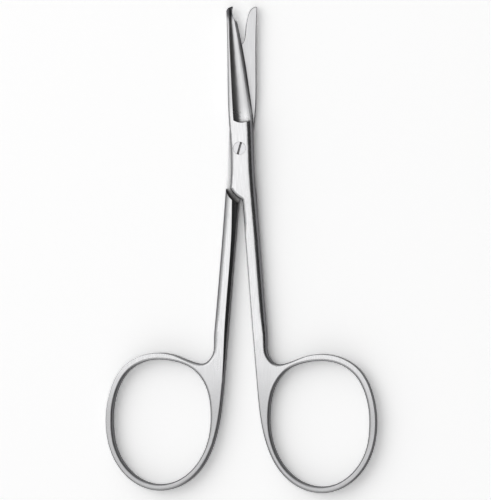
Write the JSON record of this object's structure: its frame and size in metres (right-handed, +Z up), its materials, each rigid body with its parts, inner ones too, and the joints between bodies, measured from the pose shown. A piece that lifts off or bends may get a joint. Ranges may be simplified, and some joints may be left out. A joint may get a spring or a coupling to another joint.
{
  "type": "suture scissors",
  "caption": "Small ring-handled suture scissors with a hooked blade, a blunt blade, a slotted pivot screw and a lap joint.",
  "frame": {"origin": "the pivot screw's axis at the underside of the joint, on which the scissors lie", "axes": "+Y to the blades' tips, +Z up out of the face that the scissors lie on, +X to the hooked half's finger ring"},
  "size_m": [0.051, 0.0896, 0.0032],
  "materials": {
    "forged_steel": "satin ground stainless steel",
    "screw_steel": "turned and slotted stainless steel, ground flush"
  },
  "bodies": {
    "plain_side": {"plain_half": "forged_steel", "pivot_screw": "screw_steel"},
    "hooked_side": {"hooked_half": "forged_steel"}
  },
  "joints": [
    {"name": "pivot", "type": "hinge", "parent": "plain_side", "child": "hooked_side", "pos_m": [0, 0, 0.0016], "axis": [0, 0, 1], "range_deg": [-5, 140]}
  ]
}
